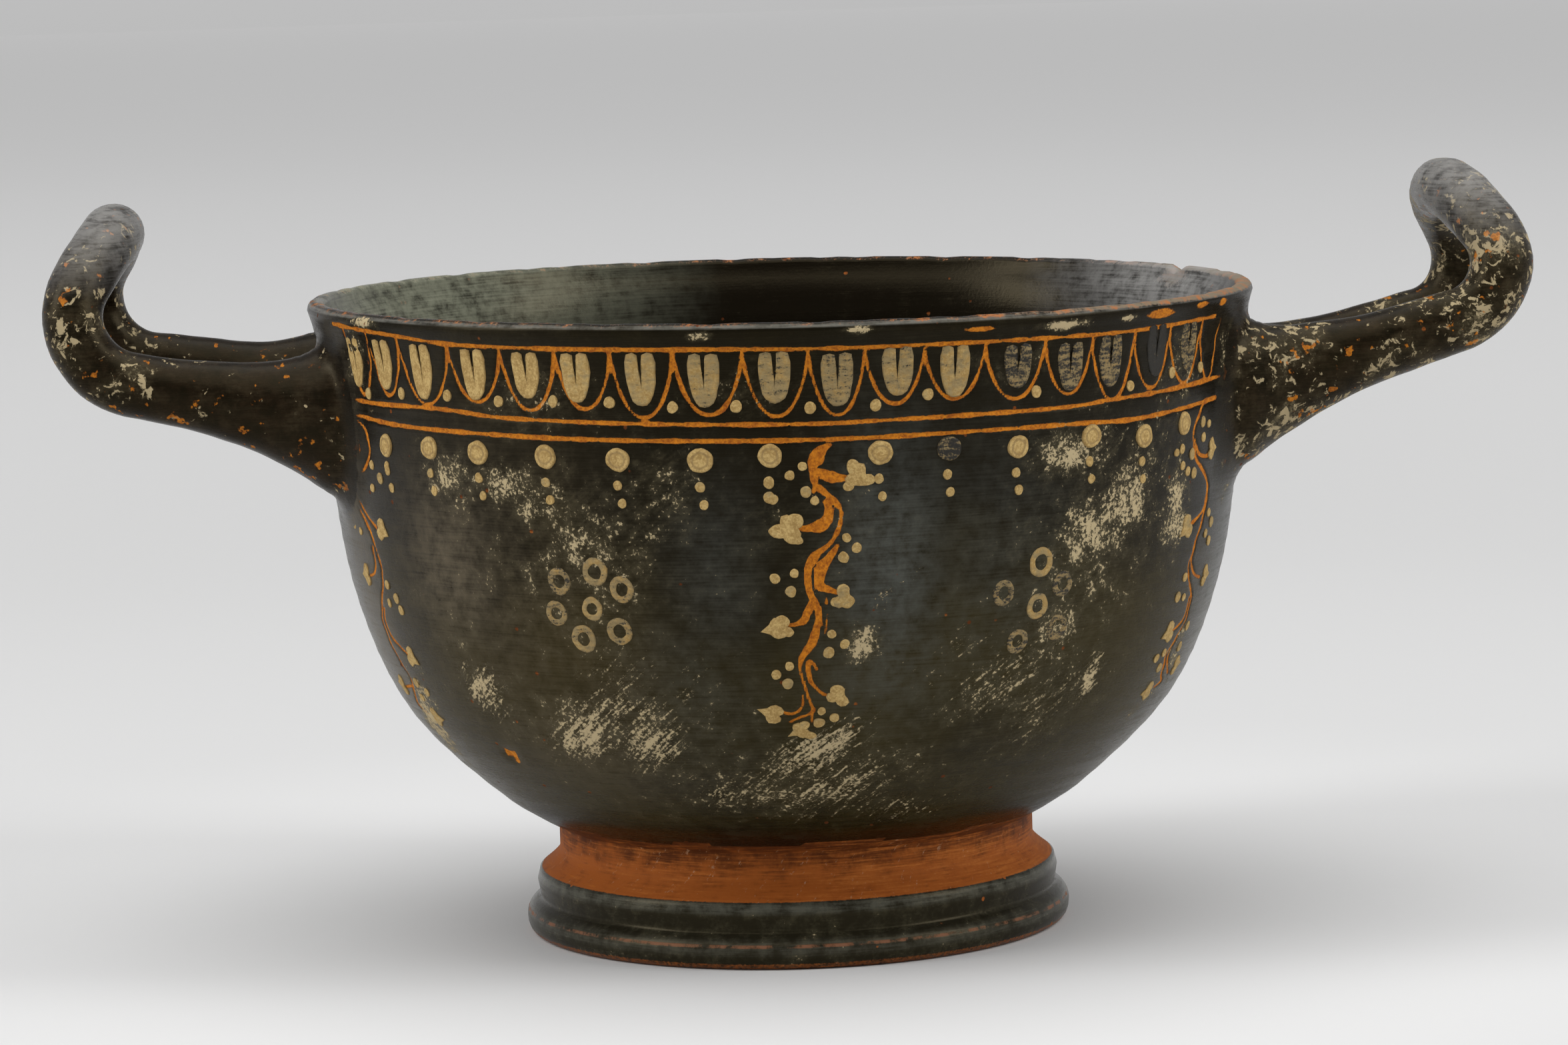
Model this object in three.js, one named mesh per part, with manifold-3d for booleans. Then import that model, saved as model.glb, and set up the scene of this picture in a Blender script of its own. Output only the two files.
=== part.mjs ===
// A black-glazed pottery cup: a thrown bowl on a moulded ring foot, with two horseshoe handles
// set just below the lip. Bowl, foot and handles were joined wet and fired as one solid piece.
// Millimetres, +Z up. The origin is on the table under the middle of the foot, handles along X.
import * as THREE from 'three';
import { mergeVertices } from 'three/addons/utils/BufferGeometryUtils.js';
import Module from 'manifold-3d';

// Driving dimensions of the bowl
const RIM_RADIUS = 70;
const RIM_HEIGHT = 95.2;
const LIP_FLARE = 1.5;
const LIP_THICKNESS = 2.7;
const LIP_ROUNDING = 1.3;
const LIP_ROOT_HEIGHT = 88.5;
const WALL_THICKNESS = 3.6;
const FLOOR_HEIGHT = 16.8;
// The radius and height of each point that the wall's two faces pass through, from the foot up
const OUTER_FACE = [[44.6, 22], [57.3, 35], [64.4, 52], [67.5, 72]];
const INNER_FACE = [[24, 18.2], [39, 23.6], [51.4, 35], [60, 52], [63.7, 72]];

// Driving dimensions of the foot
const NECK_RADIUS = 35.5;
const NECK_BOTTOM = 12.6;
const NECK_TOP = 16.2;
const FOOT_UPPER_RADIUS = 39;
const FOOT_EDGE_RADIUS = 38.6;
const FOOT_EDGE_HEIGHT = 9.3;
const FOOT_BAND_HEIGHT = 7.7;
const FOOT_GROOVE_HEIGHT = 5.2;
const FOOT_LOWER_RADIUS = 40.7;
const FOOT_LOWER_HEIGHT = 2.4;
const FOOT_ROUNDING = 1;
const REST_OUTER_RADIUS = 38.9;
const REST_INNER_RADIUS = 34.5;
const REST_BEVEL = 0.8;
const RECESS_WALL_RADIUS = 32;
const RECESS_FLOOR_RADIUS = 26;
const RECESS_HEIGHT = 9.5;

// Driving dimensions of the handles, which were bent by hand and aren't quite alike.
// The twist is how much higher the leg on the +Y side stands than the other.
const HANDLE_SPACING = 36;
const HANDLE_ARCH = 16;
const ROOT_RISE = 6.8;
const ROOT_SPREAD = 3.4;
const ROOT_FADE = 8.8;
const ROOT_DEPTH = 2.7;
const LEFT_HANDLE = {
  side: -1,
  reach: 107.4,
  rod: 4.4,
  rootHeight: 79.6,
  legAngle: 12,
  bend: 10.2,
  lean: 31,
  top: 110.9,
  twist: 0.4,
};
const RIGHT_HANDLE = {
  side: 1,
  reach: 109.3,
  rod: 4.5,
  rootHeight: 78,
  legAngle: 16,
  bend: 9.2,
  lean: 34,
  top: 111.4,
  twist: -2.4,
};

// How finely the round forms are cut into facets
const TURN_STEPS = 64;
const CURVE_STEPS = 2;
const ROD_SIDES = 14;
const LEG_STEPS = 13;
const ARCH_STEPS = 14;

const glaze = new THREE.MeshStandardMaterial({ color: 0x1d1b15, roughness: 0.35, metalness: 0 });

const wasm = await Module();
wasm.setup();

function solidOf(geometry) {
  const bare = geometry.clone();
  bare.deleteAttribute('normal');
  bare.deleteAttribute('uv');
  const merged = mergeVertices(bare);
  const vertProperties = new Float32Array(merged.attributes.position.array);
  const triVerts = new Uint32Array(merged.index.array);
  return new wasm.Manifold(new wasm.Mesh({ numProp: 3, vertProperties, triVerts }));
}

function geometryOf(solid) {
  const { vertProperties, triVerts } = solid.getMesh();
  const geometry = new THREE.BufferGeometry();
  geometry.setAttribute('position', new THREE.Float32BufferAttribute(vertProperties, 3));
  geometry.setIndex(Array.from(triVerts));
  geometry.computeVertexNormals();
  return geometry;
}

function turned(points) {
  return new THREE.LatheGeometry(points, TURN_STEPS).rotateX(Math.PI / 2);
}

const at = (radius, height) => new THREE.Vector2(radius, height);

// The outline runs from the middle of the recess under the foot, round the foot, up the outside,
// over the lip and down the inside to the middle of the floor.
function bowlOutline() {
  const outline = new THREE.Path();
  outline.moveTo(0, RECESS_HEIGHT);
  outline.lineTo(RECESS_FLOOR_RADIUS, RECESS_HEIGHT);
  outline.quadraticCurveTo(RECESS_WALL_RADIUS, RECESS_HEIGHT, RECESS_WALL_RADIUS, FOOT_GROOVE_HEIGHT);
  outline.lineTo(REST_INNER_RADIUS - REST_BEVEL, REST_BEVEL);
  outline.lineTo(REST_INNER_RADIUS, 0);
  outline.lineTo(REST_OUTER_RADIUS, 0);
  outline.quadraticCurveTo(FOOT_LOWER_RADIUS, 0, FOOT_LOWER_RADIUS, FOOT_LOWER_HEIGHT);
  const lowerShoulder = FOOT_GROOVE_HEIGHT - FOOT_ROUNDING;
  const upperShoulder = NECK_BOTTOM - FOOT_ROUNDING;
  outline.quadraticCurveTo(FOOT_LOWER_RADIUS, lowerShoulder, FOOT_EDGE_RADIUS, FOOT_GROOVE_HEIGHT);
  outline.lineTo(FOOT_UPPER_RADIUS, FOOT_BAND_HEIGHT);
  outline.lineTo(FOOT_EDGE_RADIUS, FOOT_EDGE_HEIGHT);
  outline.quadraticCurveTo(NECK_RADIUS, upperShoulder, NECK_RADIUS, NECK_BOTTOM);
  outline.lineTo(NECK_RADIUS, NECK_TOP);

  const lipRoot = RIM_RADIUS - LIP_FLARE;
  const lipMiddle = RIM_RADIUS - LIP_THICKNESS / 2;
  const lipInside = RIM_RADIUS - LIP_THICKNESS;
  const lipSide = RIM_HEIGHT - LIP_ROUNDING;
  const upOutside = OUTER_FACE.map(([radius, height]) => at(radius, height));
  const downInside = INNER_FACE.map(([radius, height]) => at(radius, height)).reverse();
  outline.splineThru([...upOutside, at(lipRoot, LIP_ROOT_HEIGHT), at(RIM_RADIUS, lipSide)]);
  outline.quadraticCurveTo(RIM_RADIUS, RIM_HEIGHT, lipMiddle, RIM_HEIGHT);
  outline.quadraticCurveTo(lipInside, RIM_HEIGHT, lipInside, lipSide);
  outline.splineThru([at(lipRoot - WALL_THICKNESS, LIP_ROOT_HEIGHT), ...downInside, at(0, FLOOR_HEIGHT)]);
  return outline.getPoints(CURVE_STEPS);
}

// A side view of a handle: a straight leg that rises from the wall, a round bend, and a straight tip
// that leans back over the bowl. It gives the place and the direction at a length along that line.
function sideView({ reach, rod, rootHeight, legAngle, bend, lean, top }) {
  const rise = THREE.MathUtils.degToRad(legAngle);
  const end = THREE.MathUtils.degToRad(90 + lean);
  const wallRadius = RIM_RADIUS - LIP_FLARE - WALL_THICKNESS / 2;
  const bendStart = reach - rod - bend + bend * Math.sin(rise);
  const legLength = (bendStart - wallRadius) / Math.cos(rise);
  const bendLength = bend * (end - rise);
  const leg = (length) => at(
    wallRadius + length * Math.cos(rise),
    rootHeight + length * Math.sin(rise),
  );
  const centre = leg(legLength).add(at(-bend * Math.sin(rise), bend * Math.cos(rise)));
  const round = (angle) => at(bend * Math.sin(angle), -bend * Math.cos(angle)).add(centre);
  const tipLength = (top - rod - round(end).y) / Math.sin(end);

  const place = (length) => {
    if (length < legLength) return { point: leg(length), angle: rise };
    const angle = Math.min(rise + (length - legLength) / bend, end);
    const past = Math.max(length - legLength - bendLength, 0);
    const point = round(angle).add(at(past * Math.cos(angle), past * Math.sin(angle)));
    return { point, angle };
  };
  return { place, total: legLength + bendLength + tipLength };
}

// A handle is a horseshoe drawn on a strip that follows the side view: two straight legs joined by
// a round arch. Each station of the rod is an oval that swells towards the wall and ends upright there.
function handleGeometry(handle) {
  const { place, total } = sideView(handle);
  const halfSpacing = HANDLE_SPACING / 2;
  const archStart = total - HANDLE_ARCH;
  const buried = -ROOT_FADE;
  const stations = [];
  for (let i = 0; i < LEG_STEPS; i++) {
    const length = THREE.MathUtils.lerp(buried, archStart, i / LEG_STEPS);
    stations.push({ length, across: -halfSpacing, turn: 0 });
  }
  for (let i = 0; i <= ARCH_STEPS; i++) {
    const turn = Math.PI * i / ARCH_STEPS;
    const length = archStart + HANDLE_ARCH * Math.sin(turn);
    stations.push({ length, across: -halfSpacing * Math.cos(turn), turn });
  }
  for (let i = LEG_STEPS - 1; i >= 0; i--) {
    const length = THREE.MathUtils.lerp(buried, archStart, i / LEG_STEPS);
    stations.push({ length, across: halfSpacing, turn: Math.PI });
  }

  const corners = [];
  const addCorner = ({ length, across, turn }, deep, wide) => {
    const swell = Math.exp(-Math.max(length, 0) / ROOT_FADE);
    const high = deep * (handle.rod + ROOT_RISE * swell);
    const broad = wide * (handle.rod + ROOT_SPREAD * swell);
    const { point, angle } = place(length - broad * Math.sin(turn));
    const slant = angle * (1 - swell);
    const along = handle.side * (point.x - high * Math.sin(slant));
    const aside = handle.side * (across + broad * Math.cos(turn));
    const up = point.y + high * Math.cos(slant) + handle.twist * aside / HANDLE_SPACING;
    corners.push(along, aside, up);
  };
  for (const station of stations) {
    for (let k = 0; k < ROD_SIDES; k++) {
      const around = 2 * Math.PI * k / ROD_SIDES;
      addCorner(station, Math.sin(around), Math.cos(around));
    }
  }
  addCorner(stations[0], 0, 0);
  addCorner(stations[stations.length - 1], 0, 0);

  const index = [];
  const ringCount = stations.length;
  const firstCap = ringCount * ROD_SIDES;
  for (let k = 0; k < ROD_SIDES; k++) {
    const next = (k + 1) % ROD_SIDES;
    for (let i = 0; i < ringCount - 1; i++) {
      const ring = i * ROD_SIDES;
      const ahead = ring + ROD_SIDES;
      index.push(ring + k, ring + next, ahead + k);
      index.push(ring + next, ahead + next, ahead + k);
    }
    const last = firstCap - ROD_SIDES;
    index.push(firstCap, next, k);
    index.push(firstCap + 1, last + k, last + next);
  }
  const geometry = new THREE.BufferGeometry();
  geometry.setAttribute('position', new THREE.Float32BufferAttribute(corners, 3));
  geometry.setIndex(index);
  return geometry;
}

function cupMesh() {
  let clay = solidOf(turned(bowlOutline()));
  // The legs end inside the wall, so none of their clay shows in the hollow.
  const legEnd = RIM_RADIUS - LIP_FLARE - ROOT_DEPTH;
  const core = new THREE.CylinderGeometry(legEnd, legEnd, RIM_HEIGHT, TURN_STEPS);
  core.rotateX(Math.PI / 2);
  core.translate(0, 0, RIM_HEIGHT / 2);
  const hollow = solidOf(core);
  for (const handle of [LEFT_HANDLE, RIGHT_HANDLE]) {
    clay = clay.add(solidOf(handleGeometry(handle)).subtract(hollow));
  }
  const mesh = new THREE.Mesh(geometryOf(clay), glaze);
  mesh.name = 'cup';
  return mesh;
}

const cup = new THREE.Group();
cup.add(cupMesh());

export default cup;
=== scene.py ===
import math

import bmesh
import bpy
import numpy as np
from mathutils import Euler, Matrix, Vector, kdtree, noise


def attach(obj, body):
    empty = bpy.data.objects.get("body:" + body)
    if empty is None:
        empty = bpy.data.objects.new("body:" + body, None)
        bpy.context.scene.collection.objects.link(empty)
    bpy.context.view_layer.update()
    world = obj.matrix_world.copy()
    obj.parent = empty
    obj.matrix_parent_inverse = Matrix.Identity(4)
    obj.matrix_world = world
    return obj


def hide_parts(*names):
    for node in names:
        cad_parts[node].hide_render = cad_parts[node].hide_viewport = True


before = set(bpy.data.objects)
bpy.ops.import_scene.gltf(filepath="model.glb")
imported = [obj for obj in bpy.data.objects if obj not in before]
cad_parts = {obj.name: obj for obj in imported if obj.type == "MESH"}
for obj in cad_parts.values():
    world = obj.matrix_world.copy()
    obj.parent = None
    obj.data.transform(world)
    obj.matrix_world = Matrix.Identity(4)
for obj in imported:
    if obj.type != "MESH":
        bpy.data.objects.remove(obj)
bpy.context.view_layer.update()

# The bowl and its ring foot are one turning in red clay, thrown on the wheel and trimmed when leather hard.
# The outline is spun in one go: recess, resting ring, foot mouldings, wall, lip and hollow.
# Sizes are in millimetres, as radius and height, and the wall has its true thickness.
MM = 0.001
RECESS_MIDDLE = (0.0, 9.5)
# Each piece of the foot is where it ends, the corner that a moulding is pulled towards and its step.
FOOT = [
    ((26, 9.5), None, 2.6), ((32, 5.2), (32, 9.5), 1.2), ((33.7, 0.8), None, 1.2), ((34.5, 0), None, 0.6),
    ((38.9, 0), None, 0.9), ((40.7, 2.4), (40.7, 0), 0.55), ((38.6, 5.2), (40.7, 4.2), 0.45),
    ((39, 7.7), None, 0.6), ((38.6, 9.3), None, 0.5), ((35.5, 12.6), (35.5, 11.6), 0.5),
    ((35.5, 16.2), None, 0.6),
]
OUTER_FACE = [(44.6, 22.0), (57.3, 35.0), (64.4, 52.0), (67.5, 72.0), (68.5, 88.5), (70.0, 93.9)]
INNER_FACE = [(64.9, 88.5), (63.7, 72.0), (60.0, 52.0), (51.4, 35.0), (39.0, 23.6), (24.0, 18.2), (0.0, 16.8)]
TURN_STEPS = 288
SAME_SPOT = 2e-6


def spline(points, step):
    """A smooth line through the points, cut at about equal steps."""
    knots = np.array([points[0]] + list(points) + [points[-1]], float)
    line = [knots[0]]
    for a, b, c, d in zip(knots, knots[1:], knots[2:], knots[3:]):
        count = max(int(round(np.linalg.norm((c - b)[:2]) / step)), 1)
        for t in np.arange(1, count + 1) / count:
            bend_in, bend_out = (c - a) / 2, (d - b) / 2
            line.append((2 * b - 2 * c + bend_in + bend_out) * t ** 3
                        + (3 * c - 3 * b - 2 * bend_in - bend_out) * t ** 2 + bend_in * t + b)
    return line


def rounded(start, corner, end, step):
    """A quarter-round moulding from start to end, pulled towards the corner."""
    start, corner, end = (np.array(p, float) for p in (start, corner, end))
    count = max(int(np.linalg.norm(end - start) / step), 2)
    shares = np.arange(1, count + 1) / count
    return [start * (1 - t) ** 2 + corner * 2 * t * (1 - t) + end * t ** 2 for t in shares]


def straight(start, end, step):
    start, end = np.array(start, float), np.array(end, float)
    count = max(int(round(np.linalg.norm(end - start) / step)), 1)
    return [start + (end - start) * t for t in np.arange(1, count + 1) / count]


foot_line = [np.array(RECESS_MIDDLE)]
for end, corner, step in FOOT:
    start = foot_line[-1]
    foot_line += rounded(start, corner, end, step) if corner else straight(start, end, step)
wall_line = spline([(35.5, 16.2)] + OUTER_FACE, 1.25)[1:]
lip_line = rounded((70, 93.9), (70, 95.2), (68.65, 95.2), 0.4)
lip_line += rounded((68.65, 95.2), (67.3, 95.2), (67.3, 93.9), 0.4)
hollow_line = spline([(67.3, 93.9)] + INNER_FACE, 2.6)[1:]
outline = foot_line + wall_line + lip_line + hollow_line
wall_heights = np.array([p[1] for p in wall_line])
wall_radii = np.array([p[0] for p in wall_line])


def on_wall(angle, height, lift=0.0):
    """A point on the outside of the wall. The angle is in degrees from the front towards the right handle."""
    radius = np.interp(height, wall_heights, wall_radii) + lift
    turn = math.radians(angle)
    return np.array((radius * math.sin(turn), -radius * math.cos(turn), height))


class Socket:
    """An output of a node, which can be used in sums. A sum adds Math nodes to its tree."""

    def __init__(self, tree, out=None):
        self.tree, self.out = tree, out

    def make(self, kind, settings=None, inputs=None, output=0):
        node = self.tree.nodes.new(kind)
        for name, value in (settings or {}).items():
            setattr(node, name, value)
        for name, value in (inputs or {}).items():
            if isinstance(value, Socket):
                self.tree.links.new(value.out, node.inputs[name])
            else:
                node.inputs[name].default_value = value
        return Socket(self.tree, node.outputs[output] if len(node.outputs) else None)

    def math(self, operation, *values):
        return self.make("ShaderNodeMath", {"operation": operation}, dict(enumerate(values)))

    def __add__(self, other):
        return self.math("ADD", self, other)

    def __radd__(self, other):
        return self.math("ADD", other, self)

    def __sub__(self, other):
        return self.math("SUBTRACT", self, other)

    def __rsub__(self, other):
        return self.math("SUBTRACT", other, self)

    def __mul__(self, other):
        return self.math("MULTIPLY", self, other)

    def __rmul__(self, other):
        return self.math("MULTIPLY", other, self)

    def __truediv__(self, other):
        return self.math("DIVIDE", self, other)


def new_tree(name, sockets):
    """An empty Geometry Nodes tree: the tree, its named inputs as sockets, and their identifiers."""
    tree = bpy.data.node_groups.new(name, "GeometryNodeTree")
    names = {}
    for label, kind in {"Geometry": "NodeSocketGeometry", **sockets}.items():
        names[label] = tree.interface.new_socket(label, in_out="INPUT", socket_type=kind)
    tree.interface.new_socket("Geometry", in_out="OUTPUT", socket_type="NodeSocketGeometry")
    entry = tree.nodes.new("NodeGroupInput")
    inputs = {label: Socket(tree, entry.outputs[label]) for label in names}
    return tree, inputs, {label: item.identifier for label, item in names.items()}


def close_tree(tree, geometry):
    end = tree.nodes.new("NodeGroupOutput")
    tree.links.new(geometry.out, end.inputs["Geometry"])


def link_mesh(name, mesh):
    piece = bpy.data.objects.new(name, mesh)
    bpy.context.scene.collection.objects.link(piece)
    return piece


def plain_mesh(piece):
    """What the modifiers make of a piece, as a mesh of its own."""
    bpy.context.view_layer.update()
    return bpy.data.meshes.new_from_object(piece.evaluated_get(bpy.context.evaluated_depsgraph_get()))


def turned_tree():
    sockets = {"Turn steps": "NodeSocketInt", "Clay": "NodeSocketMaterial"}
    tree, given, names = new_tree("turning on the wheel", sockets)
    here = Socket(tree)
    line = given["Geometry"]
    rows = here.make("GeometryNodeAttributeDomainSize", {"component": "MESH"}, {"Geometry": line})
    columns = given["Turn steps"] + 1
    grid = here.make("GeometryNodeMeshGrid", None, {"Vertices X": rows, "Vertices Y": columns})
    index = here.make("GeometryNodeInputIndex")
    row = here.math("FLOOR", (index + 0.5) / columns)
    column = index - row * columns
    place = here.make("GeometryNodeInputPosition")
    along = here.make("GeometryNodeSampleIndex", {"data_type": "FLOAT_VECTOR"},
                      {"Geometry": line, "Value": place, "Index": row})
    angle = column / given["Turn steps"] * math.tau
    spun = here.make("ShaderNodeVectorRotate", {"rotation_type": "Z_AXIS"}, {"Vector": along, "Angle": angle})
    skin = here.make("GeometryNodeSetPosition", None, {"Geometry": grid, "Position": spun})
    skin = here.make("GeometryNodeMergeByDistance", None, {"Geometry": skin, "Distance": SAME_SPOT})
    skin = here.make("GeometryNodeRealizeInstances", None, {"Geometry": skin})
    skin = here.make("GeometryNodeSetMaterial", None, {"Geometry": skin, "Material": given["Clay"]})
    close_tree(tree, skin)
    return tree, names


def turn_on_wheel(name, line, tree, names, clay):
    """Spins an outline of radius and height round the axis into a closed mesh."""
    mesh = bpy.data.meshes.new(name)
    mesh.from_pydata([(0.0, radius * MM, height * MM) for radius, height in line], [], [])
    piece = link_mesh(name, mesh)
    wheel = piece.modifiers.new("wheel", "NODES")
    wheel.node_group = tree
    wheel[names["Turn steps"]] = TURN_STEPS
    wheel[names["Clay"]] = clay
    spun = plain_mesh(piece)
    piece.modifiers.remove(wheel)
    piece.data = spun
    return piece


def face_outwards(mesh):
    shell = bmesh.new()
    shell.from_mesh(mesh)
    bmesh.ops.recalc_face_normals(shell, faces=shell.faces)
    if shell.calc_volume(signed=True) < 0:
        bmesh.ops.reverse_faces(shell, faces=shell.faces)
    shell.to_mesh(mesh)
    shell.free()


glaze = bpy.data.materials.new("black_glaze_over_red_clay")
wheel_tree, wheel_names = turned_tree()
cup = turn_on_wheel("cup_body", outline, wheel_tree, wheel_names, glaze)
face_outwards(cup.data)

# The two handles are rolled rods of clay, bent to a horseshoe by hand and luted to the wall below the lip.
# They rise from the wall, bend up and lean back over the bowl, and no two are quite alike.
# Each end swells into an upright oval where it was pressed on and smoothed into the wall.
HANDLE_SPACING, HANDLE_ARCH = 36.0, 16.0
ROOT_RISE, ROOT_SPREAD, ROOT_FADE = 6.8, 3.4, 8.8
LEFT_HANDLE = dict(side=-1, reach=107.4, rod=4.4, root=79.6, leg=12, bend=10.2, lean=31, top=110.9, twist=0.4)
RIGHT_HANDLE = dict(side=1, reach=109.3, rod=4.5, root=78.0, leg=16, bend=9.2, lean=34, top=111.4, twist=-2.4)
ROD_SIDES, LEG_STEPS, ARCH_STEPS = 28, 58, 44
ROD_START, CORE_RADIUS, CORE_FLOOR, CORE_TOP = 66.7, 65.8, 40, 97


def handle_mesh(name, side, reach, rod, root, leg, bend, lean, top, twist):
    rise, end = math.radians(leg), math.radians(90 + lean)
    leg_length = (reach - rod - bend + bend * math.sin(rise) - ROD_START) / math.cos(rise)
    centre_out = ROD_START + leg_length * math.cos(rise) - bend * math.sin(rise)
    centre_up = root + leg_length * math.sin(rise) + bend * math.cos(rise)
    bend_length = bend * (end - rise)
    tip_length = (top - rod - centre_up + bend * math.cos(end)) / math.sin(end)
    total = leg_length + bend_length + tip_length

    def place(length):
        if length < leg_length:
            return ROD_START + length * math.cos(rise), root + length * math.sin(rise), rise
        angle = min(rise + (length - leg_length) / bend, end)
        past = max(length - leg_length - bend_length, 0)
        out = centre_out + bend * math.sin(angle) + past * math.cos(angle)
        return out, centre_up - bend * math.cos(angle) + past * math.sin(angle), angle

    arch_start = total - HANDLE_ARCH
    leg_lengths = np.linspace(-ROOT_FADE, arch_start, LEG_STEPS, endpoint=False)
    stations = [(length, -HANDLE_SPACING / 2, 0.0) for length in leg_lengths]
    for turn in np.linspace(0, math.pi, ARCH_STEPS + 1):
        arch_length = arch_start + HANDLE_ARCH * math.sin(turn)
        stations.append((arch_length, -HANDLE_SPACING / 2 * math.cos(turn), turn))
    stations += [(length, HANDLE_SPACING / 2, math.pi) for length in leg_lengths[::-1]]
    corners = []
    for length, across, turn in stations:
        swell = math.exp(-max(length, 0) / ROOT_FADE)
        for around in np.arange(ROD_SIDES) * math.tau / ROD_SIDES:
            high = math.sin(around) * (rod + ROOT_RISE * swell)
            broad = math.cos(around) * (rod + ROOT_SPREAD * swell)
            out, up, angle = place(length - broad * math.sin(turn))
            slant = angle * (1 - swell)
            aside = side * (across + broad * math.cos(turn))
            spot = Vector((side * (out - high * math.sin(slant)), aside,
                           up + high * math.cos(slant) + twist * aside / HANDLE_SPACING))
            lump = 0.28 * noise.noise(spot * 0.11) + 0.1 * noise.noise(spot * 0.3)
            middle_out, middle_up, _ = place(length)
            middle = Vector((side * middle_out, side * across, middle_up))
            corners.append(spot + (spot - middle).normalized() * lump)
    faces = []
    for ring in range(len(stations) - 1):
        for k in range(ROD_SIDES):
            following = (k + 1) % ROD_SIDES
            faces.append((ring * ROD_SIDES + k, ring * ROD_SIDES + following,
                          (ring + 1) * ROD_SIDES + following, (ring + 1) * ROD_SIDES + k))
    faces.append(tuple(range(ROD_SIDES))[::-1])
    faces.append(tuple(range((len(stations) - 1) * ROD_SIDES, len(stations) * ROD_SIDES)))
    mesh = bpy.data.meshes.new(name)
    mesh.from_pydata([spot * MM for spot in corners], [], faces)
    mesh.materials.append(glaze)
    face_outwards(mesh)
    return mesh


def join(piece, tool, operation):
    """Unites a piece with another, or cuts the other out of it, and removes the other."""
    luting = piece.modifiers.new("luting", "BOOLEAN")
    luting.operation, luting.solver, luting.object = operation, "MANIFOLD", tool
    joined = plain_mesh(piece)
    piece.modifiers.remove(luting)
    piece.data = joined
    bpy.data.objects.remove(tool)


core_line = [(0, CORE_FLOOR), (CORE_RADIUS, CORE_FLOOR), (CORE_RADIUS, CORE_TOP), (0, CORE_TOP)]
for sizes in (LEFT_HANDLE, RIGHT_HANDLE):
    handle = link_mesh("handle", handle_mesh("handle", **sizes))
    core = turn_on_wheel("core", core_line, wheel_tree, wheel_names, glaze)
    face_outwards(core.data)
    join(handle, core, "DIFFERENCE")
    join(cup, handle, "UNION")

# The frieze and the vines were scratched through the wet glaze with a blunt point, down to the red clay.
# Each stroke is a line of angle, height and width on the wall: the angle is in degrees from the front
# towards the right handle, and the rest in millimetres. The back has plain eggs and no vine.
LINE_WIDTH, EGG_WIDTH, BACK_EGG_WIDTH, VINE_WIDTH, VINE_TAIL_WIDTH = 0.66, 0.54, 0.8, 0.62, 0.5
MM_PER_DEGREE, STROKE_STEP, UNCUT = 1.16, 0.15, 3.0
strokes = []
top_line = [(-69, 93.4), (-62, 93.1), (-53, 92.6), (-43.5, 91.9), (-27, 91.7), (-8, 91.6), (2, 91.4),
            (22, 91.3), (33, 91.2), (42, 91.1), (52, 91.3), (62, 91.6)]
middle_line = [(-67, 83.3), (-62, 82.9), (-49, 83.0), (-43, 82.7), (-38, 82.2), (-27, 81.8), (-12, 81.4),
               (2.5, 81.1), (11, 81.2), (22, 81.2), (35, 81.2), (39.5, 81.5), (51, 81.8), (66, 82.3)]
lower_line = [(-68, 81.1), (-56.5, 80.2), (-41, 79.8), (-27, 79.4), (-11, 79.1), (3, 78.9), (22, 78.9),
              (35, 78.7), (45, 78.4), (64, 79.3)]
back_lines = [[(turn, level + 0.3 * math.sin(turn * 0.13 + level)) for turn in range(112, 250, 6)]
              for level in (91.6, 82.0, 79.3)]
for line in [top_line, middle_line, lower_line] + back_lines:
    strokes.append([(angle, height, LINE_WIDTH) for angle, height in line])


def egg(middle, half, head, foot, width):
    """One hanging egg of the frieze, drawn in a stroke from tip to tip."""
    stroke = []
    for t in np.linspace(-1, 1, 25):
        across = math.sin(t * math.pi / 2)
        hang = max(1 - abs(across) ** 2.2, 0) ** 0.72
        stroke.append((middle + across * half, head - (head - foot) * hang, width))
    return stroke


EGG_TIPS = [-66, -60, -53.5, -44.5, -36.5, -29, -22, -14.5, -6.5, 1, 7.5, 14.5, 22, 30, 37, 44, 51, 58.5, 64]
EGG_FEET = [84, 84.3, 83.5, 84.2, 83.3, 83.6, 82.4, 82.7, 82.3, 82.2, 83.4, 83.6, 83, 83, 81.6,
            82.5, 82.5, 82.2]
for left, right, foot in zip(EGG_TIPS, EGG_TIPS[1:], EGG_FEET):
    middle = (left + right) / 2
    head = np.interp(middle, *zip(*top_line)) - 0.4
    strokes.append(egg(middle, (right - left) / 2, head, foot, EGG_WIDTH))
for left in np.arange(114, 245, 8.0):
    strokes.append(egg(left + 4 + 0.8 * math.sin(left), 4, 91.0, 83.4, BACK_EGG_WIDTH))

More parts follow.
